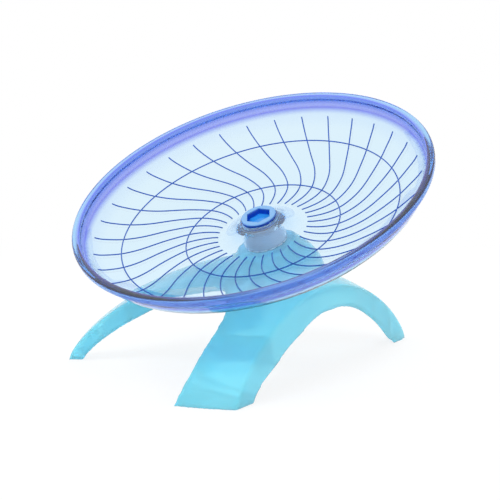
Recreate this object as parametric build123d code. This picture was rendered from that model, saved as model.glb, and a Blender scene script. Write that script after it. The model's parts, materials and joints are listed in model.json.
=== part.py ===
from build123d import *
import math
import os

# Flying saucer wheel for a small pet: a clear tilted dish that spins on a three-legged stand.
# The pieces are drawn about the point on the table straight below the middle of the dish floor,
# then moved back so that the origin is the middle of the footprint. The dish leans toward -Y.

# Driving sizes of the whole wheel
rim_radius = 90.0
dish_depth = 25.0
hub_height = 66.0
tilt = 27.3
footprint_shift = 2.5

# Dish moulding
dish_wall = 1.8
lip_width = 4.0
lip_height = 3.4
lip_round = 1.2
bell_radius = 22.0
floor_shares = ((0.422, 0.008), (0.556, 0.064), (0.667, 0.156), (0.778, 0.296),
                (0.856, 0.444), (0.911, 0.584), (0.940, 0.736))
outer_samples = 12

# Raised tread lines inside the dish
rib_count = 34
rib_width = 0.9
rib_height = 0.6
rib_sink = 0.5
rib_gap = 0.8
rib_inner_radius = 22.6
rib_outer_radius = 82.2
ring_radii = (39.0, 70.0)
rib_turns = ((0.245, -15.2), (0.270, -16.9), (0.300, -17.8), (0.335, -18.2), (0.380, -17.7),
             (0.425, -16.3), (0.490, -12.8), (0.580, -7.2), (0.670, -1.4), (0.760, 2.8),
             (0.850, 5.9), (0.920, 7.6))

# Hub of the dish
hub_rise = 6.8
hub_drop = 6.6
hub_tube_radius = 10.4
hub_neck_radius = 9.6
hub_shoulder_height = 4.4
bell_mid_share = (0.36, 0.34)

# Blue cap with a hexagonal recess
cap_radius = 8.8
cap_head = 1.9
cap_plug_radius = 7.4
cap_plug_depth = 2.2
cap_recess_flats = 11.4
cap_recess_floor_flats = 9.4
cap_recess_depth = 2.9
cap_round = 0.7

# White bearing sleeve pressed into the hub
sleeve_radius = 9.0
sleeve_flange_radius = 10.3
sleeve_flange = 1.0
sleeve_lip_radius = 7.2
scallop_count = 14
scallop_radius = 0.9

# Deep-groove ball bearing
bearing_bore_radius = 4.0
bearing_outer_radius = 8.0
bearing_width = 5.0
inner_ring_radius = 5.3
outer_ring_inner_radius = 6.7
ball_radius = 1.2
ball_count = 9
groove_clearance = 0.1
shield_thickness = 0.3
shield_recess = 0.2
shield_gap = 0.15
cage_half_height = 1.7
cage_wall = 0.7
cage_pocket_clearance = 0.1

# Spindle post and what sits on it
bearing_base_drop = 6.4
washer_thickness = 0.5
washer_radius = 5.1
post_shoulder_radius = 5.2
post_tip_height = 3.2
post_tip_radius = 1.4
clip_thickness = 0.6
clip_radius = 5.0
clip_groove_depth = 0.4
clip_slot = 2.4
post_core_radius = 1.8

# Stand moulding
stand_wall = 2.4
stand_shift = -5.1
dome_height = 52.0
foot_reach = 92.5
foot_floor = 2.6
outer_shares = ((0.171, 0.959), (0.267, 0.915), (0.460, 0.787), (0.535, 0.723), (0.663, 0.594),
                (0.727, 0.519), (0.807, 0.412), (0.870, 0.314), (0.924, 0.215), (0.968, 0.116))
crown_underside = 36.0
foot_inner_reach = 85.0
inner_shares = ((0.216, 0.670), (0.378, 0.610), (0.547, 0.492), (0.628, 0.412), (0.682, 0.358),
                (0.720, 0.317), (0.775, 0.248), (0.857, 0.133), (0.892, 0.070))
front_leg_turn = -68.0
trunk_top_drop = 8.2
trunk_top_radius = 14.6
trunk_length = 24.0
trunk_depth = 50.0
trunk_shares = ((1.10, 0.12), (1.22, 0.24), (1.38, 0.38), (1.52, 0.54), (1.64, 0.74), (1.70, 1.00))
trunk_edge_round = 1.6
boss_radius = 6.4
boss_length = 20.0
gusset_thickness = 2.0
gusset_height = 12.0
gusset_count = 3
cross_rib_shares = (0.66, 0.82)
cross_rib_thickness = 1.6

# Flat right side of the stand with its long arch: shares of the foot reach and of the dome height
side_reach = 40.2
side_draft = 5.0
side_start = 8.0
side_arch_shares = ((-0.724, 0.0), (-0.702, 0.050), (-0.597, 0.175), (-0.508, 0.248), (-0.383, 0.362),
                    (-0.279, 0.435), (-0.162, 0.512), (0.0, 0.568), (0.100, 0.553), (0.200, 0.500),
                    (0.300, 0.410), (0.400, 0.300), (0.480, 0.180), (0.530, 0.080), (0.550, 0.0))

# The right leg turns its flat side inward, and its part of the arch runs obliquely under the leg
right_leg_turn = 4.0
right_leg_start = 25.0
oblique_reach = 42.0
oblique_turn = 34.0
oblique_arch_shares = ((-0.366, 0.355), (-0.204, 0.480), (-0.096, 0.535), (0.016, 0.569), (0.082, 0.560),
                       (0.148, 0.538), (0.202, 0.510), (0.251, 0.476), (0.358, 0.379), (0.430, 0.301),
                       (0.504, 0.202), (0.557, 0.122), (0.591, 0.075), (0.622, 0.045), (0.656, 0.0))

# Two other openings: turn about the stand's middle in degrees, height share of the dome
front_window_shares = ((-145.4, 0.00), (-144.9, 0.19), (-144.6, 0.34), (-143.6, 0.48), (-141.0, 0.59),
                       (-133.0, 0.675), (-119.0, 0.735), (-106.0, 0.775), (-94.0, 0.803), (-84.0, 0.810),
                       (-75.5, 0.780), (-71.2, 0.690), (-72.2, 0.575), (-74.0, 0.455), (-76.0, 0.300),
                       (-78.0, 0.120), (-79.2, 0.00))
front_window_turn = -120.0
front_window_apex = 19.1
back_window_shares = ((68.5, 0.00), (68.2, 0.14), (68.0, 0.29), (68.0, 0.40), (68.5, 0.49), (71.0, 0.565),
                      (79.0, 0.610), (92.0, 0.635), (110.0, 0.645), (130.0, 0.65), (150.0, 0.648),
                      (168.0, 0.630), (182.0, 0.580), (193.0, 0.500), (200.5, 0.390), (204.4, 0.26),
                      (206.0, 0.12), (206.5, 0.00))
back_window_turn = 140.0
back_window_apex = 0.0
window_near = 14.0
window_far = 125.0
overrun = 1.0

axle = Plane(origin=(0, 0, hub_height), x_dir=(1, 0, 0),
             z_dir=(0, -math.sin(math.radians(tilt)), math.cos(math.radians(tilt))))
bearing_top = bearing_width - bearing_base_drop
pitch_radius = (inner_ring_radius + outer_ring_inner_radius) / 2
bearing_middle = bearing_top - bearing_width / 2


def ring(outer, inner, low, high):
    """Plain tube between two heights on the spin axis."""
    body = Cylinder(outer, high - low, align=(Align.CENTER, Align.CENTER, Align.MIN))
    hole = Cylinder(inner, high - low, align=(Align.CENTER, Align.CENTER, Align.MIN))
    return Pos(0, 0, low) * (body - hole)


def disc(radius, low, high):
    """Plain cylinder between two heights on the spin axis."""
    return Pos(0, 0, low) * Cylinder(radius, high - low, align=(Align.CENTER, Align.CENTER, Align.MIN))


def beside(curve, distance, first, last):
    """Smooth curve at a set distance to the right of a curve drawn in the XZ plane."""
    points = []
    for step in range(outer_samples + 1):
        share = first + (last - first) * step / outer_samples
        here = curve @ share
        along = curve % share
        points.append((here.X + distance * along.Z, 0, here.Z - distance * along.X))
    return Spline(*points)


def floor_curve():
    """Inside of the dish from the foot of the bell up to the rim."""
    points = [(bell_radius, 0, 0)]
    for radius_share, height_share in floor_shares:
        points.append((rim_radius * radius_share, 0, dish_depth * height_share))
    points.append((rim_radius - lip_width, 0, dish_depth - lip_height))
    return Spline(*points, tangents=((1, 0, 0), (0, 0, 1)))


def bell_curve(foot_radius, foot_height, neck_radius, neck_height):
    """Flared surface from the dish floor up to the neck of the hub."""
    middle = (neck_radius + (foot_radius - neck_radius) * bell_mid_share[0], 0,
              foot_height + (neck_height - foot_height) * bell_mid_share[1])
    return Spline((foot_radius, 0, foot_height), middle, (neck_radius, 0, neck_height),
                  tangents=((-1, 0, 0), (-0.3, 0, 1)))


def dish_section():
    """Half section of the dish with its rim, bell and hub tube."""
    inside = floor_curve()
    outside = beside(inside, dish_wall, 0, 1)
    lip_start = outside @ 1
    lip = FilletPolyline((lip_start.X, 0, lip_start.Z), (rim_radius, 0, lip_start.Z),
                         (rim_radius, 0, dish_depth), (rim_radius - lip_width, 0, dish_depth),
                         (rim_radius - lip_width, 0, dish_depth - lip_height), radius=lip_round)
    bell_top = bell_curve(bell_radius, 0, hub_neck_radius, hub_rise)
    tube_top = hub_rise * (1 - bell_mid_share[1]) - dish_wall
    bell_under = bell_curve(bell_radius, -dish_wall, hub_tube_radius, tube_top)
    hub = Polyline((hub_neck_radius, 0, hub_rise), (cap_plug_radius, 0, hub_rise),
                   (cap_plug_radius, 0, hub_shoulder_height), (sleeve_radius, 0, hub_shoulder_height),
                   (sleeve_radius, 0, -hub_drop), (hub_tube_radius, 0, -hub_drop),
                   (hub_tube_radius, 0, tube_top))
    return make_face(inside.edges() + outside.edges() + lip.edges() + bell_top.edges()
                     + bell_under.edges() + hub.edges())


def tread_layer():
    """Thin layer over the inside of the dish that the tread lines are cut from."""
    inside = floor_curve()
    low = beside(inside, rib_sink, 0, 1)
    high = beside(inside, -rib_height, 0, 1)
    ends = Line(low @ 0, high @ 0).edges() + Line(low @ 1, high @ 1).edges()
    return revolve(make_face(low.edges() + high.edges() + ends), axis=Axis.Z)


def tread_blade(start_radius, end_radius):
    """Upright S-shaped blade that marks one stretch of a radial tread line."""
    path = Spline(*[(rim_radius * share * math.cos(math.radians(turn)),
                     rim_radius * share * math.sin(math.radians(turn))) for share, turn in rib_turns])
    blade = Plane.XY * trace(path, rib_width)
    tall = extrude(blade, dish_depth)
    return tall & ring(end_radius, start_radius, -rib_sink * 2, dish_depth)


def saucer_dish():
    """Clear dish: bowl, rim, bell, hub tube and the raised tread lines."""
    dish = revolve(dish_section(), axis=Axis.Z)
    layer = tread_layer()
    gap = rib_gap + rib_width / 2
    edges = (rib_inner_radius, ring_radii[0] - gap, ring_radii[0] + gap, ring_radii[1] - gap,
             ring_radii[1] + gap, rib_outer_radius)
    treads = []
    for radius in ring_radii:
        circle = ring(radius + rib_width / 2, radius - rib_width / 2, -rib_sink * 2, dish_depth)
        treads.append(circle & layer)
    for start, end in zip(edges[0::2], edges[1::2]):
        stretch = tread_blade(start, end) & layer
        treads += [Rot(0, 0, 360 / rib_count * number) * stretch for number in range(rib_count)]
    return dish.fuse(*treads)


def hexagon(flats):
    """Flat hexagon by its size across the flats."""
    return RegularPolygon(flats / 2, 6, major_radius=False)


def hub_cap():
    """Blue plug that closes the hub, with a tapering hexagonal recess in its head."""
    head = fillet(disc(cap_radius, hub_rise, hub_rise + cap_head).edges(), cap_round)
    plug = disc(cap_plug_radius, hub_rise - cap_plug_depth, hub_rise + cap_head / 2)
    mouth = Plane.XY.offset(hub_rise + cap_head) * hexagon(cap_recess_flats)
    floor = Plane.XY.offset(hub_rise + cap_head - cap_recess_depth) * hexagon(cap_recess_floor_flats)
    return head + plug - loft([floor, mouth])


def bearing_sleeve():
    """White sleeve that holds the bearing in the hub, with a scalloped flange below."""
    body = ring(sleeve_radius, bearing_outer_radius, -hub_drop, hub_shoulder_height)
    lip = ring(bearing_outer_radius, sleeve_lip_radius, bearing_top, hub_shoulder_height)
    flange = ring(sleeve_flange_radius, bearing_outer_radius, -hub_drop - sleeve_flange, -hub_drop)
    scallop = Pos(sleeve_flange_radius, 0, 0) * disc(scallop_radius, -hub_drop - sleeve_flange, -hub_drop)
    for number in range(scallop_count):
        flange -= Rot(0, 0, 360 / scallop_count * number) * scallop
    return body + lip + flange


def groove():
    """Round track that the balls roll in."""
    return Pos(0, 0, bearing_middle) * Torus(pitch_radius, ball_radius + groove_clearance)


def inner_ring():
    """Inner ring of the bearing, which stands still on the post."""
    low = bearing_top - bearing_width
    return ring(inner_ring_radius, bearing_bore_radius, low, bearing_top) - groove()


def outer_ring():
    """Outer ring of the bearing, which turns with the dish, with seats for the shields."""
    low = bearing_top - bearing_width
    body = ring(bearing_outer_radius, outer_ring_inner_radius, low, bearing_top) - groove()
    depth = shield_thickness + shield_recess
    seat_radius = outer_ring_inner_radius + shield_thickness
    upper = ring(seat_radius, pitch_radius, bearing_top - depth, bearing_top)
    lower = ring(seat_radius, pitch_radius, low, low + depth)
    return body - upper - lower


def shield(face, inward):
    """Thin dust shield seated in the outer ring just inside one face of the bearing."""
    seat_radius = outer_ring_inner_radius + shield_thickness
    near = face + inward * shield_recess
    far = near + inward * shield_thickness
    return ring(seat_radius, inner_ring_radius + shield_gap, min(near, far), max(near, far))


def ball_place(number):
    """Where one ball sits on the pitch circle."""
    return Rot(0, 0, 360 / ball_count * number) * Pos(pitch_radius, 0, bearing_middle)


def ball_cage():
    """Cage ring that keeps the balls apart."""
    low = bearing_middle - cage_half_height
    high = bearing_middle + cage_half_height
    cage = ring(pitch_radius + cage_wall / 2, pitch_radius - cage_wall / 2, low, high)
    for number in range(ball_count):
        pocket = Rot(0, 90, 0) * Cylinder(ball_radius + cage_pocket_clearance, cage_wall * 3)
        cage -= ball_place(number) * pocket
    return cage


def lower_washer():
    """Washer between the shoulder of the post and the inner ring."""
    top = bearing_top - bearing_width
    return ring(washer_radius, bearing_bore_radius, top - washer_thickness, top)


def retaining_clip():
    """Open push-on clip in the groove of the post, over the inner ring."""
    top = bearing_top + clip_thickness
    body = ring(clip_radius, bearing_bore_radius - clip_groove_depth, bearing_top, top)
    slot = Box(clip_radius * 2, clip_slot, clip_thickness * 4)
    return body - Pos(clip_radius, 0, bearing_top) * slot


def post():
    """Upright post of the stand: shoulder, bearing seat, clip groove and rounded tip."""
    foot = -trunk_top_drop - stand_wall / 2
    seat_low = bearing_top - bearing_width - washer_thickness
    tip_start = bearing_top + clip_thickness * 2
    side = Polyline((0, 0, foot), (post_shoulder_radius, 0, foot), (post_shoulder_radius, 0, seat_low),
                    (bearing_bore_radius, 0, seat_low), (bearing_bore_radius, 0, tip_start))
    nose = Spline((bearing_bore_radius, 0, tip_start), (post_tip_radius, 0, post_tip_height),
                  tangents=((0, 0, 1), (-1, 0, 0.3)))
    close = Polyline((post_tip_radius, 0, post_tip_height), (0, 0, post_tip_height), (0, 0, foot))
    body = revolve(make_face(side.edges() + nose.edges() + close.edges()), axis=Axis.Z)
    return body - ring(bearing_bore_radius * 2, bearing_bore_radius - clip_groove_depth, bearing_top,
                       bearing_top + clip_thickness)


def dome_curve(reach, height, shares):
    """Smooth falling curve from the stand's middle to the floor, in shares of the whole dome."""
    points = [(0, 0, height)]
    for radius_share, height_share in shares:
        points.append((foot_reach * radius_share, 0, dome_height * height_share))
    points.append((reach, 0, 0))
    return Spline(*points, tangents=((1, 0, 0), (0.35, 0, -1)))


def under(curve):
    """Solid under a falling curve, turned about the upright middle of the stand."""
    top = curve @ 0
    end = curve @ 1
    close = Polyline((end.X, 0, end.Z), (0, 0, end.Z), (0, 0, top.Z))
    body = revolve(make_face(curve.edges() + close.edges()), axis=Axis.Z)
    return Pos(stand_shift, 0, 0) * Rot(0, 0, front_leg_turn) * body


def dome_radius(height_share):
    """Radius of the outer skin at a height, by straight steps between the outline points."""
    steps = [(0, 1)] + list(outer_shares) + [(1, 0)]
    for (near, high), (far, low) in zip(steps, steps[1:]):
        if high >= height_share >= low:
            return foot_reach * (near + (far - near) * (high - height_share) / (high - low))


def window_points(shares, middle_turn, apex, grow):
    """Side slope seen from the apex and height of each outline point, grown into the legs if asked."""
    middle = math.radians(middle_turn)
    spots = []
    for turn, share in shares:
        out = dome_radius(share)
        x = out * math.cos(math.radians(turn)) - apex
        y = out * math.sin(math.radians(turn))
        ahead = x * math.cos(middle) + y * math.sin(middle)
        spots.append((ahead, (y * math.cos(middle) - x * math.sin(middle)) / ahead, dome_height * share))
    grown = []
    for index, (ahead, slope, height) in enumerate(spots):
        before = spots[max(index - 1, 0)]
        after = spots[min(index + 1, len(spots) - 1)]
        across = ahead * (after[1] - before[1])
        rise = after[2] - before[2]
        length = math.hypot(across, rise)
        grown.append((slope - grow * rise / length / ahead, height + grow * across / length))
    return grown


def leg_window(shares, middle_turn, apex, grow):
    """Arched opening between two legs, spreading outward from an apex on the stand's long axis."""
    points = window_points(shares, middle_turn, apex, grow)
    low = -foot_floor - grow
    sections = []
    for distance in (window_near, window_far):
        plane = Plane(origin=(distance, 0, 0), x_dir=(0, 1, 0), z_dir=(1, 0, 0))
        arch = Edge.make_spline([(distance * slope, height) for slope, height in points],
                                parameters=[index / (len(points) - 1) for index in range(len(points))])
        first = arch @ 0
        last = arch @ 1
        below = Polyline((first.X, first.Y), (first.X, low), (last.X, low), (last.X, last.Y))
        sections.append(plane * make_face([arch] + below.edges()))
    return Pos(stand_shift + apex, 0, 0) * Rot(0, 0, middle_turn) * loft(sections, ruled=True)


def openings(grow):
    """Front and back openings between the legs."""
    front = leg_window(front_window_shares, front_window_turn, front_window_apex, grow)
    back = leg_window(back_window_shares, back_window_turn, back_window_apex, grow)
    return [front, back]


def side_slab(inset):
    """Everything to the right of the flat side, or of a plane inset from it."""
    size = foot_reach * 4
    slab = Pos(side_reach - inset + size / 2, 0, 0) * Box(size, size, size)
    slab = Rot(0, -side_draft, 0) * slab
    return [slab, Pos(0, right_leg_start, 0) * Rot(0, 0, right_leg_turn) * slab]


def arch_face(shares, reach):
    """Face of an arch, drawn upright at a distance to the right of the stand's middle."""
    points = [(foot_reach * across, dome_height * height) for across, height in shares]
    arch = Spline(*points)
    first = points[0]
    last = points[-1]
    below = Polyline(first, (first[0], -foot_floor), (last[0], -foot_floor), last)
    plane = Plane(origin=(reach, 0, 0), x_dir=(0, 1, 0), z_dir=(1, 0, 0))
    return plane * make_face(arch.edges() + below.edges())


def side_arch():
    """Long arch cut into the stand from its flat right side: straight, and obliquely under the right leg."""
    straight = extrude(arch_face(side_arch_shares, side_start), foot_reach)
    turn = math.radians(oblique_turn)
    inward = (-math.sin(turn), math.cos(turn), 0)
    depth = (oblique_reach - side_start) / math.sin(turn)
    return [straight, extrude(arch_face(oblique_arch_shares, oblique_reach), depth, dir=inward)]


def trunk(skin, top):
    """Flared trunk around the spin axis that carries the post, drawn in by a skin thickness."""
    start = (trunk_top_radius - skin, 0, top)
    points = [start]
    for radius_share, length_share in trunk_shares:
        radius = trunk_top_radius * radius_share - skin
        points.append((radius, 0, -trunk_top_drop - skin - trunk_length * length_share))
    side = Spline(*points, tangents=((0.3, 0, -1), (0, 0, -1)))
    end = points[-1]
    close = Polyline(end, (end[0], 0, -trunk_depth), (0, 0, -trunk_depth), (0, 0, top), start)
    return revolve(make_face(side.edges() + close.edges()), axis=Axis.Z)


def cross_ribs():
    """Upright stiffening ribs across the inside of each leg."""
    ribs = []
    for share in cross_rib_shares:
        radius = foot_reach * share
        ribs.append(ring(radius + cross_rib_thickness, radius, 0, dome_height))
    return Pos(stand_shift, 0, 0) * (ribs[0] + ribs[1])


def stand_shell():
    """Three-legged stand in one moulding: arched channel legs, trunk, boss and post."""
    outline = dome_curve(foot_reach, dome_height, outer_shares)
    size = foot_reach * 4
    inner = under(dome_curve(foot_inner_reach, crown_underside, inner_shares))
    hollow = inner - Pos(side_start + size / 2, 0, 0) * Box(size, size, size)
    legs = under(outline) - openings(0) - side_slab(0)
    legs = legs - hollow - side_arch()
    column = fillet(trunk(0, -trunk_top_drop).edges().sort_by(Axis.Z)[-1], trunk_edge_round)
    column = axle * column - hollow - side_arch()
    pocket = under(beside(outline, stand_wall, 0, 1)) - openings(stand_wall) - side_slab(stand_wall)
    pocket -= cross_ribs()
    floor = Pos(0, 0, foot_floor / 2) * Box(size, size, foot_floor)
    well = axle * trunk(stand_wall, -trunk_top_drop - stand_wall)
    shell = legs + column - (pocket - floor) - well
    return shell.fuse(axle * boss()) & Pos(0, 0, hub_height) * Box(size, size, hub_height * 2)


def boss():
    """Post with its thick root under the crown and the webs that brace it."""
    root = disc(boss_radius, -trunk_top_drop - boss_length, -trunk_top_drop - stand_wall / 2)
    webs = []
    for number in range(gusset_count):
        plate = Box(trunk_top_radius, gusset_thickness, gusset_height)
        place = Pos(trunk_top_radius / 2, 0, -trunk_top_drop - stand_wall / 2 - gusset_height / 2)
        webs.append(Rot(0, 0, 360 / gusset_count * number) * place * plate)
    body = root.fuse(post(), *webs)
    core_top = bearing_top - bearing_width
    return body - disc(post_core_radius, -trunk_top_drop - boss_length - overrun, core_top)


low_face = bearing_top - bearing_width
nodes = {
    "stand_shell": stand_shell(),
    "lower_washer": axle * lower_washer(),
    "inner_ring": axle * inner_ring(),
    "retaining_clip": axle * retaining_clip(),
    "saucer_dish": axle * saucer_dish(),
    "hub_cap": axle * hub_cap(),
    "bearing_sleeve": axle * bearing_sleeve(),
    "outer_ring": axle * outer_ring(),
    "upper_shield": axle * shield(bearing_top, -1),
    "lower_shield": axle * shield(low_face, 1),
    "ball_cage": axle * ball_cage(),
}
for number in range(ball_count):
    nodes["ball_" + str(number + 1)] = axle * ball_place(number) * Sphere(ball_radius)

os.makedirs("parts", exist_ok=True)
for name, shape in nodes.items():
    export_step(Pos(0, footprint_shift, 0) * shape, "parts/" + name + ".step")
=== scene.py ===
import json
import logging
import math
from dataclasses import dataclass
from enum import Enum

import bmesh
import bpy
import numpy as np
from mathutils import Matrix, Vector

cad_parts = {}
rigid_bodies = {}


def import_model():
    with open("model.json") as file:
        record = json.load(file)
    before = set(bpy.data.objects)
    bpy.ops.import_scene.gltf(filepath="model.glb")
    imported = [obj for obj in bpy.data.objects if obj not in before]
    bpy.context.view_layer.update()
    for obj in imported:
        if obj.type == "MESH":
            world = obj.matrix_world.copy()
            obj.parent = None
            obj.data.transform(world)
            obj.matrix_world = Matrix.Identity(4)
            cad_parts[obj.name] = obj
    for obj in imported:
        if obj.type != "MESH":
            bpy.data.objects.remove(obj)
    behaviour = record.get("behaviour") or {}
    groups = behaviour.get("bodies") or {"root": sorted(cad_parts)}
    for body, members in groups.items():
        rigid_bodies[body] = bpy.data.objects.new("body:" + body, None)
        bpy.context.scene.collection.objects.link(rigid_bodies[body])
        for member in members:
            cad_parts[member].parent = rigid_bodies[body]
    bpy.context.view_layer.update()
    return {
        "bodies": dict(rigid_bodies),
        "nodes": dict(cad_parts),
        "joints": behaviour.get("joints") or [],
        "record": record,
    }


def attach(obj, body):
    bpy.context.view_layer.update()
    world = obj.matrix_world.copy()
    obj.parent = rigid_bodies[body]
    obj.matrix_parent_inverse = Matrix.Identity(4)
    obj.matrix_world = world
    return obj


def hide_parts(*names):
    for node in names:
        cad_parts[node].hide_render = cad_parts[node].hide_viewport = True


log = logging.getLogger("flying_saucer_wheel")

MM = 0.001


class Rider(Enum):
    """The bodies that a piece can move with."""

    STAND = "stand"
    SAUCER = "saucer"


class Edge(Enum):
    """How the shading treats the corners of a mesh."""

    SMOOTH = 180.0
    CREASED = 38.0


def linear(code: str) -> tuple[float, float, float, float]:
    """Turns an sRGB hex colour into the linear colour that a socket takes.

    Args:
        code: colour such as "#4FA0F0".

    Returns:
        Linear red, green and blue with an alpha of 1.
    """
    parts = [int(code[place:place + 2], 16) / 255 for place in (1, 3, 5)]
    lit = [c / 12.92 if c <= 0.04045 else ((c + 0.055) / 1.055) ** 2.4 for c in parts]
    return (lit[0], lit[1], lit[2], 1.0)


def add_node(tree: bpy.types.NodeTree, kind: str, inputs: dict | None = None, **settings: object) -> bpy.types.Node:
    """Adds one node with its settings, values and links.

    Args:
        tree: the node tree that takes it.
        kind: Blender's name of the node.
        inputs: socket name or number to a value, or to the output socket that feeds it.
        **settings: properties of the node itself.

    Returns:
        The new node.
    """
    node = tree.nodes.new(kind)
    for name, value in settings.items():
        setattr(node, name, value)
    for name, value in (inputs or {}).items():
        if isinstance(value, bpy.types.NodeSocket):
            tree.links.new(value, node.inputs[name])
        else:
            node.inputs[name].default_value = value
    return node


def new_material(name: str) -> tuple[bpy.types.Material, bpy.types.NodeTree]:
    """Makes an empty node material.

    Args:
        name: the finish in a maker's plain words.

    Returns:
        The material and its cleared node tree.
    """
    material = bpy.data.materials.new(name)
    material.use_nodes = True
    material.node_tree.nodes.clear()
    return material, material.node_tree


def add_ramp(tree: bpy.types.NodeTree, share: bpy.types.NodeSocket,
             stops: list[tuple[float, tuple]]) -> bpy.types.NodeSocket:
    """Adds a colour ramp.

    Args:
        tree: the node tree that takes it.
        share: where on the ramp to read, from 0 to 1.
        stops: place on the ramp and linear colour, in order.

    Returns:
        The colour output.
    """
    ramp = add_node(tree, "ShaderNodeValToRGB", {0: share})
    elements = ramp.color_ramp.elements
    for element, (place, colour) in zip(elements, (stops[0], stops[-1])):
        element.position, element.color = place, colour
    for place, colour in stops[1:-1]:
        elements.new(place).color = colour
    return ramp.outputs["Color"]


@dataclass(frozen=True)
class SpinAxis:
    """The leaning axis that the saucer turns about.

    Attributes:
        lean: lean toward -Y in degrees.
        place: where the axis meets the dish floor, in metres.
    """

    lean: float = 27.3
    place: tuple[float, float, float] = (0.0, 0.0025, 0.066)

    def matrix(self) -> np.ndarray:
        """Columns are the directions of the leaning frame: X, up the slope and along the axis."""
        turn = math.radians(self.lean)
        return np.array([[1, 0, 0], [0, math.cos(turn), -math.sin(turn)], [0, math.sin(turn), math.cos(turn)]])

    def to_row(self, points: np.ndarray) -> np.ndarray:
        """Millimetres in the leaning frame to metres in the row's frame."""
        return points @ self.matrix().T * MM + np.array(self.place)

    def to_lean(self, points: np.ndarray) -> np.ndarray:
        """Metres in the row's frame to millimetres in the leaning frame."""
        return (points - np.array(self.place)) @ self.matrix() / MM

    def mapping(self, tree: bpy.types.NodeTree) -> bpy.types.NodeSocket:
        """Object coordinates turned into the leaning frame, in millimetres.

        Args:
            tree: the node tree that takes the nodes.

        Returns:
            The output socket with the turned coordinates.
        """
        coordinates = add_node(tree, "ShaderNodeTexCoord")
        moved = add_node(tree, "ShaderNodeVectorMath", {0: coordinates.outputs["Object"], 1: self.place},
                         operation="SUBTRACT")
        turned = add_node(tree, "ShaderNodeMapping", {"Vector": moved.outputs[0],
                                                      "Rotation": (-math.radians(self.lean), 0, 0)})
        large = add_node(tree, "ShaderNodeVectorMath", {0: turned.outputs[0], "Scale": 1 / MM}, operation="SCALE")
        return large.outputs[0]

    def radius(self, tree: bpy.types.NodeTree) -> bpy.types.NodeSocket:
        """Distance from the axis in millimetres.

        Args:
            tree: the node tree that takes the nodes.

        Returns:
            The output socket with the distance.
        """
        flat = add_node(tree, "ShaderNodeVectorMath", {0: self.mapping(tree), 1: (1, 1, 0)}, operation="MULTIPLY")
        return add_node(tree, "ShaderNodeVectorMath", {0: flat.outputs[0]}, operation="LENGTH").outputs["Value"]

    def height(self, tree: bpy.types.NodeTree) -> bpy.types.NodeSocket:
        """Height over the dish floor along the axis in millimetres.

        Args:
            tree: the node tree that takes the nodes.

        Returns:
            The output socket with the height.
        """
        return add_node(tree, "ShaderNodeSeparateXYZ", {0: self.mapping(tree)}).outputs["Z"]


AXIS = SpinAxis()


def smooth_line(points: np.ndarray, count: int, start: tuple | None = None, end: tuple | None = None) -> np.ndarray:
    """Cubic spline through points.

    The parameter runs by chord length. Each span is a Hermite cubic, and the slopes are solved so that the
    second derivatives agree at every inner point. An end without a given direction has no curvature.

    Args:
        points: n points of any dimension.
        count: samples per span.
        start: direction at the first point.
        end: direction at the last point.

    Returns:
        The sampled points.
    """
    points = np.asarray(points, float)
    h = np.linalg.norm(np.diff(points, axis=0), axis=1)
    n = len(points)
    rule = np.zeros((n, n))
    right = np.zeros_like(points)
    inner = np.arange(1, n - 1)
    rule[inner, inner - 1] = 1 / h[:-1]
    rule[inner, inner] = 2 / h[:-1] + 2 / h[1:]
    rule[inner, inner + 1] = 1 / h[1:]
    step = np.diff(points, axis=0)
    right[1:-1] = 3 * (step[:-1] / h[:-1, None] ** 2 + step[1:] / h[1:, None] ** 2)
    for row, other, given, span in ((0, 1, start, 0), (-1, -2, end, -1)):
        rule[row, row] = 1 if given else 2
        rule[row, other] = 0 if given else 1
        right[row] = np.array(given) / np.linalg.norm(given) if given else 3 * step[span] / h[span]
    slopes = np.linalg.solve(rule, right)
    u = np.linspace(0, 1, count, endpoint=False)[None, :, None]
    p0, p1 = points[:-1, None], points[1:, None]
    m0, m1 = slopes[:-1, None] * h[:, None, None], slopes[1:, None] * h[:, None, None]
    curve = ((2 * u ** 3 - 3 * u ** 2 + 1) * p0 + (u ** 3 - 2 * u ** 2 + u) * m0
             + (3 * u ** 2 - 2 * u ** 3) * p1 + (u ** 3 - u ** 2) * m1)
    return np.vstack([curve.reshape(-1, points.shape[1]), points[-1:]])


def rounded_corners(points: list, radius: float, count: int = 6) -> np.ndarray:
    """Open line with its inner corners replaced by arcs.

    Each corner is a quadratic blend from one tangent point to the other, at a distance equal to the radius from
    a square corner.

    Args:
        points: corners in order.
        radius: size of the rounding.
        count: samples per corner.

    Returns:
        The sampled line.
    """
    points = np.asarray(points, float)
    before = points[:-2] - points[1:-1]
    after = points[2:] - points[1:-1]
    before *= (radius / np.linalg.norm(before, axis=1))[:, None]
    after *= (radius / np.linalg.norm(after, axis=1))[:, None]
    u = np.linspace(0, 1, count)[None, :, None]
    corner = points[1:-1, None]
    arcs = corner + before[:, None] * (1 - u) ** 2 + after[:, None] * u ** 2
    return np.vstack([points[:1], arcs.reshape(-1, points.shape[1]), points[-1:]])


def offset_line(line: np.ndarray, distance: float) -> np.ndarray:
    """Line at a set distance to the right of another, measured square to its direction at each sample."""
    along = np.gradient(line, axis=0)
    along /= np.linalg.norm(along, axis=1)[:, None]
    return line + distance * np.stack([along[:, 1], -along[:, 0]], axis=1)


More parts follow.
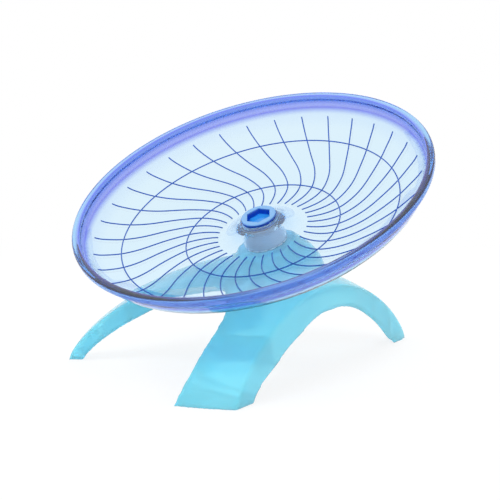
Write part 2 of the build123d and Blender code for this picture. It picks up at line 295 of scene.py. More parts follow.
def make_mesh(name: str, points: np.ndarray, faces: np.ndarray, edge: Edge = Edge.CREASED) -> bpy.types.Object:
    """Puts points in metres and faces of one size into a new object.

    Args:
        name: name of the piece.
        points: n x 3 array.
        faces: m x k array of point numbers.
        edge: how its corners are shaded.

    Returns:
        The object, at the origin.
    """
    mesh = bpy.data.meshes.new(name)
    mesh.from_pydata(points.tolist(), [], faces.tolist())
    mesh.validate()
    build = bmesh.new()
    build.from_mesh(mesh)
    bmesh.ops.remove_doubles(build, verts=build.verts, dist=1e-7)
    bmesh.ops.recalc_face_normals(build, faces=build.faces)
    build.to_mesh(mesh)
    build.free()
    mesh.polygons.foreach_set("use_smooth", np.ones(len(mesh.polygons), dtype=bool))
    if edge is not Edge.SMOOTH:
        mesh.set_sharp_from_angle(angle=math.radians(edge.value))
    piece = bpy.data.objects.new(name, mesh)
    bpy.context.scene.collection.objects.link(piece)
    return piece


def grid_quads(rows: int, columns: int, closed: bool) -> np.ndarray:
    """Quads of a grid of points whose columns join round.

    Quad (i, j) has the points (i, j), (i, j + 1), (i + 1, j + 1) and (i + 1, j), and point (i, j) has the number
    i * columns + j.

    Args:
        rows: rows of points.
        columns: points in a row.
        closed: True if the last row joins the first.

    Returns:
        m x 4 array of point numbers.
    """
    i = np.arange(rows if closed else rows - 1)[:, None]
    j = np.arange(columns)[None, :]
    after_i, after_j = (i + 1) % rows, (j + 1) % columns
    corners = [i * columns + j, i * columns + after_j, after_i * columns + after_j, after_i * columns + j]
    return np.stack([corner.ravel() for corner in np.broadcast_arrays(*corners)], axis=1)


def turned(name: str, profile: np.ndarray, turns: int, closed: bool, edge: Edge = Edge.CREASED) -> bpy.types.Object:
    """Surface of revolution about the spin axis.

    Point (i, j) is the profile's sample i at radius r and height z, turned by 2 pi j / turns:
    (r cos, r sin, z) in the leaning frame.

    Args:
        name: name of the piece.
        profile: samples of radius and height in millimetres.
        turns: steps round the axis.
        closed: True if the last sample joins the first, False if both ends lie on the axis.
        edge: how its corners are shaded.

    Returns:
        The object.
    """
    turn = np.linspace(0, 2 * math.pi, turns, endpoint=False)
    radius, height = profile[:, 0, None], profile[:, 1, None]
    grid = np.stack([radius * np.cos(turn), radius * np.sin(turn), height + 0 * turn], axis=-1)
    faces = grid_quads(len(profile), turns, closed)
    return make_mesh(name, AXIS.to_row(grid.reshape(-1, 3)), faces, edge)


@dataclass(frozen=True)
class ClearStyrene:
    """Crystal polystyrene tinted light blue, injection moulded and glossy.

    It is clear and pale where it is thin. At the inner edge of the rim, a dark blue line of painted shade with a
    lilac band beside it stands in for what refraction in the thick lip shows. There less light goes straight through,
    and a little of it is scattered.

    Attributes:
        name: the finish.
        tints_and_painted_rim_shade: distance from the axis in millimetres, the tint of the skin there with painted
            shade at the rim's inner edge, and the share of light that goes straight through instead of being
            scattered.
        reach: distance that the whole ramp covers.
        dye: colour of the dye in the sheet.
        strength: how fast the dye takes up light, per metre.
    """

    name: str = "clear blue polystyrene, moulded"
    # The rim stops from 85.7 to 87.0 mm are painted shade: a dark blue line with a lilac band that stands in for
    # refraction in the lip.
    tints_and_painted_rim_shade: tuple[tuple[float, str, float], ...] = (
        (0.0, "#F2F8FF", 0.80), (12.0, "#F2F8FF", 0.88), (22.0, "#FFFFFF", 1.0), (78.0, "#FFFFFF", 1.0),
        (84.6, "#F2F6FF", 0.98), (85.7, "#9CA4F6", 0.86), (86.3, "#5C5AEC", 0.70), (87.0, "#B8B4FA", 0.88),
        (88.2, "#D8EEFF", 0.96), (89.4, "#DCF0FF", 0.96), (90.0, "#ECF8FF", 0.97))
    reach: float = 100.0
    dye: str = "#44D2F9"
    strength: float = 175.0

    def make(self) -> bpy.types.Material:
        """Builds the material: a tint by radius, with painted shade at the rim's inner edge, on clear plastic that
        lets lamps through.
        """
        material, tree = new_material(self.name)
        radius = AXIS.radius(tree)
        share = add_node(tree, "ShaderNodeMath", {0: radius, 1: self.reach}, operation="DIVIDE").outputs[0]
        # The rim part of this ramp is painted shade, and less light goes straight through there.
        tint = add_ramp(tree, share, [(place / self.reach, linear(code)) for place, code, _ in self.tints_and_painted_rim_shade])
        through = add_ramp(tree, share, [(place / self.reach, (part, part, part, 1.0))
                                         for place, _, part in self.tints_and_painted_rim_shade])
        ripple = add_node(tree, "ShaderNodeTexNoise", {"Vector": AXIS.mapping(tree), "Scale": 0.05, "Detail": 1.0})
        bump = add_node(tree, "ShaderNodeBump", {"Height": ripple.outputs["Fac"], "Strength": 0.06,
                                                 "Distance": 0.001})
        plastic = add_node(tree, "ShaderNodeBsdfPrincipled", {
            "Base Color": tint, "Roughness": 0.03, "IOR": 1.5, "Transmission Weight": through,
            "Normal": bump.outputs["Normal"]})
        open_way = add_node(tree, "ShaderNodeBsdfTransparent", {"Color": tint})
        path = add_node(tree, "ShaderNodeLightPath")
        mix = add_node(tree, "ShaderNodeMixShader", {0: path.outputs["Is Shadow Ray"], 1: plastic.outputs[0],
                                                     2: open_way.outputs[0]})
        dye = add_node(tree, "ShaderNodeVolumeAbsorption", {"Color": linear(self.dye), "Density": self.strength})
        add_node(tree, "ShaderNodeOutputMaterial", {"Surface": mix.outputs[0], "Volume": dye.outputs[0]})
        return material


@dataclass(frozen=True)
class TreadPaintedShadeBlue:
    """The same polystyrene seen through the raised tread lines, painted a deep blue: painted shade that stands in for
    the darkening that refraction at the lines gives.

    Attributes:
        name: the finish.
        tint: colour of the light that passes, a deep blue of painted shade.
    """

    name: str = "polystyrene tread in painted deep blue shade, moulded"
    # Painted shade: this deep blue stands in for the darkening that refraction at the clear lines gives.
    tint: str = "#6394DE"

    def make(self) -> bpy.types.Material:
        """Builds the material: a glossy deep blue of painted shade that lets some light through."""
        material, tree = new_material(self.name)
        plastic = add_node(tree, "ShaderNodeBsdfPrincipled", {
            "Base Color": linear(self.tint), "Roughness": 0.12, "IOR": 1.5, "Transmission Weight": 0.5})
        open_way = add_node(tree, "ShaderNodeBsdfTransparent", {"Color": linear(self.tint)})
        facing = add_node(tree, "ShaderNodeLayerWeight", {"Blend": 0.35})
        share = add_node(tree, "ShaderNodeMapRange", {"Value": facing.outputs["Facing"], "To Min": 0.25,
                                                      "To Max": 0.9})
        mix = add_node(tree, "ShaderNodeMixShader", {0: share.outputs[0], 1: open_way.outputs[0],
                                                     2: plastic.outputs[0]})
        add_node(tree, "ShaderNodeOutputMaterial", {"Surface": mix.outputs[0]})
        return material


@dataclass(frozen=True)
class MilkyPlastic:
    """Translucent polypropylene or polystyrene with a milky body, injection moulded.

    Light enters and spreads, so the lit faces are pale and bright and the folds stay saturated. The skin is
    glossy with a faint flow pattern a few centimetres long.

    Attributes:
        name: the finish.
        body: colour of the lit body.
        deep: colour where the flow pattern is thickest.
        passing: share of light that goes through.
        roughness: gloss of the skin.
        spread: share of light that spreads inside.
        depth: how far it spreads, in millimetres.
    """

    name: str
    body: str
    deep: str
    passing: float
    roughness: float
    spread: float
    depth: float

    def make(self) -> bpy.types.Material:
        """Builds the material: milky body colour with soft flow marks and a fine satin skin."""
        material, tree = new_material(self.name)
        coordinates = add_node(tree, "ShaderNodeTexCoord").outputs["Object"]
        flow = add_node(tree, "ShaderNodeTexNoise", {"Vector": coordinates, "Scale": 22.0, "Detail": 2.0,
                                                     "Roughness": 0.45})
        colour = add_node(tree, "ShaderNodeMix", {0: flow.outputs["Fac"], 6: linear(self.body),
                                                  7: linear(self.deep)}, data_type="RGBA")
        gloss = add_node(tree, "ShaderNodeMapRange", {"Value": flow.outputs["Fac"],
                                                      "To Min": self.roughness * 0.85,
                                                      "To Max": self.roughness * 1.2})
        grain = add_node(tree, "ShaderNodeTexNoise", {"Vector": coordinates, "Scale": 900.0, "Detail": 1.0})
        bump = add_node(tree, "ShaderNodeBump", {"Height": grain.outputs["Fac"], "Strength": 0.05,
                                                 "Distance": 0.0005})
        plastic = add_node(tree, "ShaderNodeBsdfPrincipled", {
            "Base Color": colour.outputs[2], "Roughness": gloss.outputs[0], "IOR": 1.49,
            "Transmission Weight": self.passing, "Subsurface Weight": self.spread,
            "Subsurface Radius": (0.6, 1.0, 1.0), "Subsurface Scale": self.depth * MM,
            "Normal": bump.outputs["Normal"]})
        add_node(tree, "ShaderNodeOutputMaterial", {"Surface": plastic.outputs[0]})
        return material


@dataclass(frozen=True)
class CapBlue:
    """Translucent blue polystyrene of the cap, moulded and glossy.

    The colour is painted by height: painted shade darkens the walls of the hexagonal recess, painted light brightens
    its floor, and a painted highlight makes the rounded head pale.

    Attributes:
        name: the finish.
        layers_of_painted_light: height over the dish floor in millimetres and the colour of the body there, with its
            painted shade, light and highlight.
    """

    name: str = "translucent blue polystyrene cap, moulded"
    # Painted light by height: a bright recess floor, dark recess walls as painted shade, and a pale head as a painted
    # highlight.
    layers_of_painted_light: tuple[tuple[float, str], ...] = ((5.6, "#2FA4FF"), (5.95, "#2FA4FF"), (6.25, "#0A4FD2"), (8.1, "#0B4CCB"),
                                             (8.45, "#6FB4F6"), (8.7, "#8CC6FA"))

    def make(self) -> bpy.types.Material:
        """Builds the material: a body colour by height, with painted shade and highlight, in a clear glossy skin."""
        material, tree = new_material(self.name)
        low, high = self.layers_of_painted_light[0][0], self.layers_of_painted_light[-1][0]
        share = add_node(tree, "ShaderNodeMapRange", {"Value": AXIS.height(tree), "From Min": low, "From Max": high})
        body = add_ramp(tree, share.outputs[0], [((place - low) / (high - low), linear(code))
                                                 for place, code in self.layers_of_painted_light])
        plastic = add_node(tree, "ShaderNodeBsdfPrincipled", {
            "Base Color": body, "Roughness": 0.08, "IOR": 1.5, "Transmission Weight": 0.35})
        add_node(tree, "ShaderNodeOutputMaterial", {"Surface": plastic.outputs[0]})
        return material


@dataclass(frozen=True)
class TurnedSteel:
    """Bearing or spring steel, turned or ground round the axis, so its marks are fine rings.

    Attributes:
        name: the finish.
        colour: colour of the metal.
        roughness: gloss of the metal.
        pitch: distance between the turning marks in millimetres, drawn coarser than the real 0.02 mm.
    """

    name: str
    colour: str
    roughness: float
    pitch: float = 0.25

    def make(self) -> bpy.types.Material:
        """Builds the material: metal with ring marks in its gloss and relief."""
        material, tree = new_material(self.name)
        radius = AXIS.radius(tree)
        scaled = add_node(tree, "ShaderNodeMath", {0: radius, 1: 1 / self.pitch}, operation="MULTIPLY")
        marks = add_node(tree, "ShaderNodeTexNoise", {"W": scaled.outputs[0], "Scale": 1.0, "Detail": 2.0},
                         noise_dimensions="1D")
        gloss = add_node(tree, "ShaderNodeMapRange", {"Value": marks.outputs["Fac"],
                                                      "To Min": self.roughness * 0.7,
                                                      "To Max": self.roughness * 1.4})
        bump = add_node(tree, "ShaderNodeBump", {"Height": marks.outputs["Fac"], "Strength": 0.1,
                                                 "Distance": 0.0001})
        metal = add_node(tree, "ShaderNodeBsdfPrincipled", {
            "Base Color": linear(self.colour), "Metallic": 1.0, "Roughness": gloss.outputs[0],
            "Normal": bump.outputs["Normal"]})
        add_node(tree, "ShaderNodeOutputMaterial", {"Surface": metal.outputs[0]})
        return material


STAND_FINISH = MilkyPlastic("milky turquoise polypropylene, moulded", "#96EEFF", "#7AE4FF", 0.45, 0.2, 0.35, 7.0)
SLEEVE_FINISH = MilkyPlastic("natural white polyethylene, moulded", "#F6FBFC", "#ECF6F8", 0.15, 0.3, 0.6, 3.0)
CAGE_FINISH = MilkyPlastic("natural nylon, moulded", "#EDE9DA", "#E2DCCB", 0.1, 0.4, 0.1, 1.0)


def dress(piece: bpy.types.Object, material: bpy.types.Material) -> None:
    """Gives a piece one material in its first slot."""
    piece.data.materials.clear()
    piece.data.materials.append(material)


@dataclass
class DishShell:
    """Clear dish with its rim, bell and hub tube, without the tread lines.

    Attributes:
        rim: outer radius in millimetres.
        depth: depth of the dish.
        wall: thickness of the sheet.
        lip: width of the rim band.
        lip_height: height of the rim band.
        lip_round: rounding of the rim's corners.
        bell: radius at the foot of the bell.
        shares: inside of the dish as shares of rim radius and depth.
        rise: height of the hub over the dish floor.
        drop: how far the hub tube reaches below it.
        neck: outer radius of the hub tube.
        brow: radius of the top of the bell.
        bore: radius of the hole in the tube.
        plug_hole: radius of the hole that takes the cap.
        ledge: height of the ledge between the two holes.
        hub_round: rounding of the hub's corners.
        fit: distance to the pieces in the hub, so that no two skins share a place.
    """

    rim: float = 90.0
    depth: float = 25.0
    wall: float = 1.8
    lip: float = 4.0
    lip_height: float = 3.4
    lip_round: float = 1.3
    bell: float = 22.0
    shares: tuple[tuple[float, float], ...] = ((0.422, 0.008), (0.556, 0.064), (0.667, 0.156), (0.778, 0.296),
                                               (0.856, 0.444), (0.911, 0.584), (0.940, 0.736))
    rise: float = 6.8
    drop: float = 6.6
    neck: float = 10.4
    brow: float = 9.6
    bore: float = 9.0
    plug_hole: float = 7.4
    ledge: float = 4.4
    hub_round: float = 0.35
    fit: float = 0.05

    def inside(self) -> np.ndarray:
        """Inner profile from the foot of the bell to the rim: a cubic spline through the shares."""
        points = [(self.bell, 0.0)] + [(self.rim * r, self.depth * z) for r, z in self.shares]
        points.append((self.rim - self.lip, self.depth - self.lip_height))
        return smooth_line(points, 9, start=(1, 0), end=(0, 1))

    def bell_side(self, foot: tuple[float, float], neck: tuple[float, float]) -> np.ndarray:
        """Flared side of the bell from its foot to its neck, a spline through one point between them."""
        middle = (neck[0] + (foot[0] - neck[0]) * 0.36, foot[1] + (neck[1] - foot[1]) * 0.34)
        return smooth_line([foot, middle, neck], 14, start=(-1, 0), end=(-0.3, 1))

    def profile(self) -> np.ndarray:
        """Closed section of the dish: inside, rim, outside, bell from below, hub tube and bell from above."""
        inside = self.inside()
        outside = offset_line(inside, self.wall)
        start = outside[-1]
        top = self.depth
        low = self.depth - self.lip_height
        lip = rounded_corners([start, (self.rim, start[1]), (self.rim, top), (self.rim - self.lip, top),
                               (self.rim - self.lip, low)], self.lip_round)
        tube = self.rise * 0.66 - self.wall
        under = self.bell_side((self.bell, -self.wall), (self.neck, tube))
        crest, ledge = self.rise - self.fit, self.ledge + self.fit
        bore, plug_hole = self.bore + self.fit, self.plug_hole + self.fit
        hub = rounded_corners([(self.neck, tube), (self.neck, -self.drop), (bore, -self.drop), (bore, ledge),
                               (plug_hole, ledge), (plug_hole, crest), (self.brow, crest)], self.hub_round, 5)
        over = self.bell_side((self.bell, 0.0), (self.brow, crest))
        return np.vstack([inside[:-1], lip[::-1][:-1], outside[::-1][1:], under[1:], hub[1:-1], over[::-1][:-1]])

    def build(self) -> bpy.types.Object:
        """Turns the section about the spin axis and dresses it."""
        shell = turned("dish_shell", self.profile(), 288, closed=True)
        dress(shell, ClearStyrene().make())
        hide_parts("saucer_dish")
        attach(shell, Rider.SAUCER.value)
        return shell


@dataclass
class Treads:
    """Raised tread lines on the dish floor: curved spokes in three stretches and two rings.

    Attributes:
        dish: the dish that they stand on.
        count: spokes round the dish.
        width: width of a line in millimetres.
        height: height of a line.
        rings: radii of the two rings.
        stretches: first and last radius of each stretch of a spoke.
        course: radius as a share of the rim, and turn in degrees, along one spoke.
    """

    dish: DishShell
    count: int = 34
    width: float = 0.62
    height: float = 0.5
    rings: tuple[float, float] = (39.0, 70.0)
    stretches: tuple[tuple[float, float], ...] = ((22.6, 38.75), (39.25, 69.75), (70.25, 82.2))
    course: tuple[tuple[float, float], ...] = ((0.245, -15.2), (0.270, -16.9), (0.300, -17.8), (0.335, -18.2),
                                               (0.380, -17.7), (0.425, -16.3), (0.490, -12.8), (0.580, -7.2),
                                               (0.670, -1.4), (0.760, 2.8), (0.850, 5.9), (0.920, 7.6))

    def section(self, samples: int = 9) -> np.ndarray:
        """Half oval across a line: (w cos a / 2, h sin a) from one foot to the other, sunk a little."""
        turn = np.linspace(0, math.pi, samples)
        across = np.cos(turn) * self.width / 2
        high = np.sin(turn) ** 0.7 * self.height - 0.08
        return np.stack([across, high], axis=1)

    def on_floor(self, flat: np.ndarray) -> tuple[np.ndarray, np.ndarray]:
        """Lifts points (x, y) onto the dish floor and gives the floor's normal there.

        Args:
            flat: n x 2 points in the leaning frame.

        Returns:
            The lifted points and the unit normals.
        """
        inside = self.dish.inside()
        radius = np.linalg.norm(flat, axis=1)
        height = np.interp(radius, inside[:, 0], inside[:, 1])
        slope = np.interp(radius, inside[:, 0], np.gradient(inside[:, 1], inside[:, 0]))
        out = flat / radius[:, None]
        normal = np.stack([-slope * out[:, 0], -slope * out[:, 1], np.ones_like(radius)], axis=1)
        normal /= np.linalg.norm(normal, axis=1)[:, None]
        return np.column_stack([flat, height]), normal

    def sweep(self, flat: np.ndarray, closed: bool) -> tuple[np.ndarray, np.ndarray]:
        """Carries the half oval along a line on the dish floor.

        Point (i, k) is floor point i + across_k * b_i + high_k * n_i, with n the floor's normal and b the
        direction square to it and to the line. An open line narrows to a rounded point over its last 0.5 mm.

        Args:
            flat: points (x, y) of the line.
            closed: True for a ring.

        Returns:
            The points and the quads.
        """
        spine, normal = self.on_floor(flat)
        along = np.gradient(spine, axis=0)
        if closed:
            along = np.roll(spine, -1, axis=0) - np.roll(spine, 1, axis=0)
        along /= np.linalg.norm(along, axis=1)[:, None]
        side = np.cross(along, normal)
        cut = self.section()
        full = np.ones(len(spine))
        if not closed:
            run = np.concatenate([[0], np.cumsum(np.linalg.norm(np.diff(spine, axis=0), axis=1))])
            near = np.minimum(run, run[-1] - run) / (self.width / 2)
            full = np.sqrt(np.clip(1 - (1 - np.clip(near, 0.05, 1)) ** 2, 0, 1))
        grid = (spine[:, None] + side[:, None] * (cut[None, :, 0] * full[:, None])[..., None]
                + normal[:, None] * (cut[None, :, 1] * full[:, None])[..., None])
        return grid.reshape(-1, 3), grid_quads(len(spine), len(cut), closed)

    def spokes(self) -> bpy.types.Object:
        """All spokes in one piece: one course, cut by radius and turned by 360 / count."""
        share, turn = np.array(self.course).T
        course = np.stack([share * self.dish.rim * np.cos(np.radians(turn)),
                           share * self.dish.rim * np.sin(np.radians(turn))], axis=1)
        fine = smooth_line(course, 24)
        radius = np.linalg.norm(fine, axis=1)
        points, faces, total = [], [], 0
        for first, last in self.stretches:
            steps = np.concatenate([first + np.array([0, 0.06, 0.2, 0.45]), np.arange(first + 1.2, last - 1, 0.9),
                                    last - np.array([0.45, 0.2, 0.06, 0])])
            flat = np.stack([np.interp(steps, radius, fine[:, 0]), np.interp(steps, radius, fine[:, 1])], axis=1)
            grid, quads = self.sweep(flat, closed=False)
            turns = 2 * math.pi / self.count * np.arange(self.count)
            spin = np.stack([np.cos(turns), -np.sin(turns), np.sin(turns), np.cos(turns)], axis=1)
            flats = np.einsum("nij,pj->npi", spin.reshape(-1, 2, 2), grid[:, :2])
            whole = np.concatenate([flats, np.broadcast_to(grid[None, :, 2:], (self.count, len(grid), 1))], axis=2)
            points.append(whole.reshape(-1, 3))
            faces.append((quads[None] + len(grid) * np.arange(self.count)[:, None, None]).reshape(-1, 4) + total)
            total += len(grid) * self.count
        return make_mesh("tread_spokes", AXIS.to_row(np.vstack(points)), np.vstack(faces), Edge.SMOOTH)

    def circles(self) -> bpy.types.Object:
        """Both rings in one piece: the half oval carried round a circle."""
        turn = np.linspace(0, 2 * math.pi, 240, endpoint=False)
        points, faces = [], []
        for number, radius in enumerate(self.rings):
            grid, quads = self.sweep(radius * np.stack([np.cos(turn), np.sin(turn)], axis=1), closed=True)
            points.append(grid)
            faces.append(quads + number * len(grid))
        return make_mesh("tread_rings", AXIS.to_row(np.vstack(points)), np.vstack(faces), Edge.SMOOTH)

    def build(self) -> list[bpy.types.Object]:
        """Makes and dresses the spokes and the rings."""
        material = TreadPaintedShadeBlue().make()
        pieces = [self.spokes(), self.circles()]
        for piece in pieces:
            dress(piece, material)
            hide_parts("saucer_dish")
            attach(piece, Rider.SAUCER.value)
        return pieces


@dataclass
class Stand:
    """Turquoise stand: the moulding with rounded edges, and its post.

    Attributes:
        grain: size of the rebuilt mesh in millimetres.
        rounds: how many times its edges are eased.
        post_reach: radius round the axis that the separate post covers.
        crown: height of the crown under the dish floor, along the axis.
        skirt: radius of the foot of the post, inside the crown.
        shoulder: radius of the shoulder under the washer.
        seat: radius of the bearing seat.
        groove: radius at the bottom of the clip's groove.
        seat_low: height of the low end of the seat.
        groove_low: height of the low edge of the groove.
        groove_high: height of its high edge.
        neck_high: height where the rounded tip begins.
        tip: height of the tip.
    """

    grain: float = 0.78
    rounds: int = 7
    post_reach: float = 6.4
    crown: float = -8.2
    skirt: float = 9.5
    shoulder: float = 5.2
    seat: float = 4.0
    groove: float = 3.6
    seat_low: float = -6.9
    groove_low: float = -1.4
    groove_high: float = -0.8
    neck_high: float = -0.2
    tip: float = 3.35

    def moulding(self, node: bpy.types.Object) -> bpy.types.Object:
        """Copies the CAD moulding, rebuilds its skin in even cells and eases every edge.

        Each round moves a point half way to the mean of its neighbours. Points on the table stay.

        Args:
            node: the CAD node.

        Returns:
            The eased moulding.
        """
        build = bmesh.new()
        build.from_mesh(node.data)
        bmesh.ops.remove_doubles(build, verts=build.verts, dist=2e-6)
        mesh = bpy.data.meshes.new("stand_copy")
        build.to_mesh(mesh)
        build.free()
        rough = bpy.data.objects.new("stand_copy", mesh)
        bpy.context.scene.collection.objects.link(rough)
        remesh = rough.modifiers.new("cells", "REMESH")
        remesh.mode = "VOXEL"
        remesh.voxel_size = self.grain * MM
        bpy.context.view_layer.update()
        cells = bpy.data.meshes.new_from_object(rough.evaluated_get(bpy.context.evaluated_depsgraph_get()))
        bpy.data.objects.remove(rough)
        count = len(cells.vertices)
        points = np.empty(count * 3)
        cells.vertices.foreach_get("co", points)
        points = points.reshape(-1, 3)
        ends = np.empty(len(cells.edges) * 2, dtype=np.int64)
        cells.edges.foreach_get("vertices", ends)
        first, second = ends.reshape(-1, 2).T
        degree = np.bincount(ends, minlength=count)[:, None]
        free = np.clip((points[:, 2:] / MM + 1.5) / 3.0, 0, 1)
        for _ in range(self.rounds):
            total = np.stack([np.bincount(first, points[second, axis], count)
                              + np.bincount(second, points[first, axis], count) for axis in range(3)], axis=1)
            points += 0.5 * free * (total / degree - points)
        leaning = AXIS.to_lean(points)
        near = (np.hypot(leaning[:, 0], leaning[:, 1]) < self.post_reach) & (leaning[:, 2] > self.crown - 1.0)
        leaning[near, 2] = np.minimum(leaning[near, 2], self.crown - 0.3)
        points = AXIS.to_row(leaning)
        points[:, 2] = np.maximum(points[:, 2], 0.0)
        cells.vertices.foreach_set("co", points.ravel())
        cells.polygons.foreach_set("use_smooth", np.ones(len(cells.polygons), dtype=bool))
        cells.update()
        piece = bpy.data.objects.new("stand_moulding", cells)
        bpy.context.scene.collection.objects.link(piece)
        return piece

    def post(self) -> bpy.types.Object:
        """Post with its shoulder, bearing seat, clip groove and rounded tip, turned about the axis."""
        low = self.crown - 0.9
        base = rounded_corners([(self.skirt, low), (self.shoulder, self.crown - 0.15),
                                (self.shoulder, self.seat_low), (self.seat, self.seat_low)], 0.6)
        seat = rounded_corners([(self.seat, self.seat_low), (self.seat, self.groove_low),
                                (self.groove, self.groove_low), (self.groove, self.groove_high),
                                (self.seat, self.groove_high), (self.seat, self.neck_high)], 0.12, 3)
        nose = smooth_line([(self.seat, self.neck_high), (3.3, 1.9), (1.4, 3.2), (0.0, self.tip)], 8,
                           start=(0, 1), end=(-1, 0))
        profile = np.vstack([[(0.0, low)], base, seat[1:], nose[1:]])
        return turned("stand_post", profile, 72, closed=False)

    def build(self, frame: dict) -> list[bpy.types.Object]:
        """Makes and dresses the moulding and the post.


        Returns:
            Both pieces.
        """
        material = STAND_FINISH.make()
        pieces = [self.moulding(frame["nodes"]["stand_shell"]), self.post()]
        for piece in pieces:
            dress(piece, material)
            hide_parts("stand_shell")
            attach(piece, Rider.STAND.value)
        return pieces


@dataclass
class Hub:
    """Cap, sleeve and ball bearing in the hub, kept as the CAD has them and dressed here.

    Attributes:
        balls: number of balls in the bearing.
    """

    balls: int = 9

    def build(self, frame: dict) -> None:
        """Dresses each node of the hub.
        """
        bearing = TurnedSteel("ground bearing steel", "#D3D5D8", 0.16).make()
        pressed = TurnedSteel("pressed steel shield", "#BFC2C6", 0.34, 0.6).make()
        spring = TurnedSteel("spring steel", "#A9ABB0", 0.28, 0.4).make()
        finishes = {"hub_cap": CapBlue().make(), "bearing_sleeve": SLEEVE_FINISH.make(),
                    "ball_cage": CAGE_FINISH.make(), "inner_ring": bearing, "outer_ring": bearing,
                    "upper_shield": pressed, "lower_shield": pressed, "lower_washer": spring,
                    "retaining_clip": spring}
        finishes.update({f"ball_{number + 1}": bearing for number in range(self.balls)})
        for name, material in finishes.items():
            node = frame["nodes"][name]
            dress(node, material)
            node.data.polygons.foreach_set("use_smooth", np.ones(len(node.data.polygons), dtype=bool))
            log.info("dressed %s with %s", name, material.name)


@dataclass(frozen=True)
class Softbox:
    """One soft lamp that faces the object.

    Attributes:
        name: name of the lamp.
        place: where it hangs, in metres.
        size: long side of the box in metres.
        power: watts.
        height_share: short side as a share of the long one.
    """

    name: str
    place: tuple[float, float, float]
    size: float
    power: float
    height_share: float = 0.7

    def build(self) -> None:
        """Hangs the lamp. Glossy and clear skins don't show its outline."""
        data = bpy.data.lights.new(self.name, "AREA")
        data.shape = "RECTANGLE"
        data.size = self.size
        data.size_y = self.size * self.height_share
        data.energy = self.power
        lamp = bpy.data.objects.new(self.name, data)
        lamp.location = self.place
        lamp.visible_glossy = lamp.visible_transmission = False
        lamp.rotation_mode = "QUATERNION"
        lamp.rotation_quaternion = (Vector(self.place) - Vector((0, 0, 0.06))).to_track_quat("Z", "Y")
        bpy.context.scene.collection.objects.link(lamp)


SOFTBOXES = (
    Softbox("key", (-0.5, -0.9, 1.3), 0.9, 15.5),
    Softbox("fill", (1.3, -0.4, 0.8), 0.7, 6.5),
    Softbox("back", (-0.3, 1.2, 0.9), 0.9, 8.5),
)


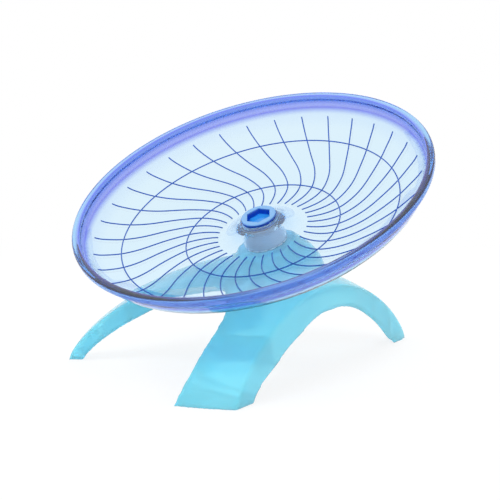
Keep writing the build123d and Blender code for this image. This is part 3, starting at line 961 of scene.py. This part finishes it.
@dataclass
class Studio:
    """White table, soft lamps and the camera.

    Attributes:
        azimuth: camera's turn round the object in degrees.
        elevation: its height above the horizon in degrees.
        place: where it stands, in metres.
        lens: focal length in millimetres on a 36 mm frame.
        table_reach: half the side of the table in metres.
        table_cells: cells along one side of it.
    """

    azimuth: float = 33.92
    elevation: float = 10.0
    place: tuple[float, float, float] = (0.3999, -0.6033, 0.1839)
    lens: float = 108.0
    table_reach: float = 3.0
    table_cells: int = 24

    def seen(self, tree: bpy.types.NodeTree) -> bpy.types.NodeSocket:
        """One where a surface is seen directly, in a reflection or through clear plastic, otherwise nought."""
        path = add_node(tree, "ShaderNodeLightPath")
        both = add_node(tree, "ShaderNodeMath", {0: path.outputs["Is Camera Ray"], 1: path.outputs["Is Glossy Ray"]},
                        operation="MAXIMUM")
        return add_node(tree, "ShaderNodeMath", {0: both.outputs[0], 1: path.outputs["Is Transmission Ray"]},
                        operation="MAXIMUM").outputs[0]

    def table(self) -> bpy.types.Object:
        """White table, a flat grid that rises a little far away, with a faint shadow of the object."""
        cells, row = self.table_cells, self.table_cells + 1
        reach = np.linspace(-self.table_reach, self.table_reach, row)
        x, y = np.meshgrid(reach, reach, indexing="ij")
        z = 0.02 * np.clip(np.hypot(x, y) - 2.0, 0, None) ** 2 - 0.0001
        i, j = np.meshgrid(np.arange(cells), np.arange(cells), indexing="ij")
        faces = np.stack([i * row + j, (i + 1) * row + j, (i + 1) * row + j + 1, i * row + j + 1], axis=-1)
        faces = faces.reshape(-1, 4)
        table = make_mesh("table", np.stack([x, y, z], axis=-1).reshape(-1, 3), faces, Edge.SMOOTH)
        material, tree = new_material("white studio table")
        matt = add_node(tree, "ShaderNodeBsdfDiffuse", {"Color": linear("#F4F6F8")})
        glow = add_node(tree, "ShaderNodeEmission", {"Color": linear("#FFFFFF"), "Strength": 1.0})
        place = add_node(tree, "ShaderNodeTexCoord").outputs["Object"]
        far = add_node(tree, "ShaderNodeVectorMath", {0: place}, operation="LENGTH").outputs["Value"]
        glow_share = add_node(tree, "ShaderNodeMapRange", {"Value": far, "From Min": 0.12, "From Max": 0.4,
                                                           "To Min": 0.86, "To Max": 1.0},
                              interpolation_type="SMOOTHSTEP")
        share = add_node(tree, "ShaderNodeMath", {0: self.seen(tree), 1: glow_share.outputs[0]},
                         operation="MULTIPLY")
        mix = add_node(tree, "ShaderNodeMixShader", {0: share.outputs[0], 1: matt.outputs[0], 2: glow.outputs[0]})
        add_node(tree, "ShaderNodeOutputMaterial", {"Surface": mix.outputs[0]})
        dress(table, material)
        return table

    def sky(self) -> None:
        """Soft grey-white light from all round that is seen as plain white."""
        world = bpy.data.worlds.new("studio")
        world.use_nodes = True
        tree = world.node_tree
        tree.nodes.clear()
        strength = add_node(tree, "ShaderNodeMapRange", {"Value": self.seen(tree), "To Min": 0.62, "To Max": 1.0})
        light = add_node(tree, "ShaderNodeBackground", {"Color": linear("#FFFFFF"),
                                                        "Strength": strength.outputs[0]})
        add_node(tree, "ShaderNodeOutputWorld", {"Surface": light.outputs[0]})
        bpy.context.scene.world = world

    def camera(self) -> None:
        """Stands the camera where the photograph was taken from."""
        turn, rise = math.radians(self.azimuth), math.radians(self.elevation)
        back = Vector((math.sin(turn) * math.cos(rise), -math.cos(turn) * math.cos(rise), math.sin(rise)))
        data = bpy.data.cameras.new("camera")
        data.lens = self.lens
        data.sensor_width = 36.0
        data.clip_start, data.clip_end = 0.01, 20.0
        camera = bpy.data.objects.new("camera", data)
        camera.location = self.place
        camera.rotation_mode = "QUATERNION"
        camera.rotation_quaternion = (-back).to_track_quat("-Z", "Y")
        bpy.context.scene.collection.objects.link(camera)
        bpy.context.scene.camera = camera

    def build(self) -> None:
        """Sets up table, light and camera."""
        self.table()
        self.sky()
        for softbox in SOFTBOXES:
            softbox.build()
        self.camera()
        bpy.context.scene.view_settings.view_transform = "Standard"


def main() -> None:
    """Loads the frame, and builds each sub-assembly."""
    logging.basicConfig(level=logging.INFO, format="%(name)s: %(message)s")
    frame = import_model()
    dish = DishShell()
    log.info("made %s", dish.build().name)
    for piece in Treads(dish).build() + Stand().build(frame):
        log.info("made %s, %d faces", piece.name, len(piece.data.polygons))
    Hub().build(frame)
    Studio().build()


if __name__ == "__main__":
    main()
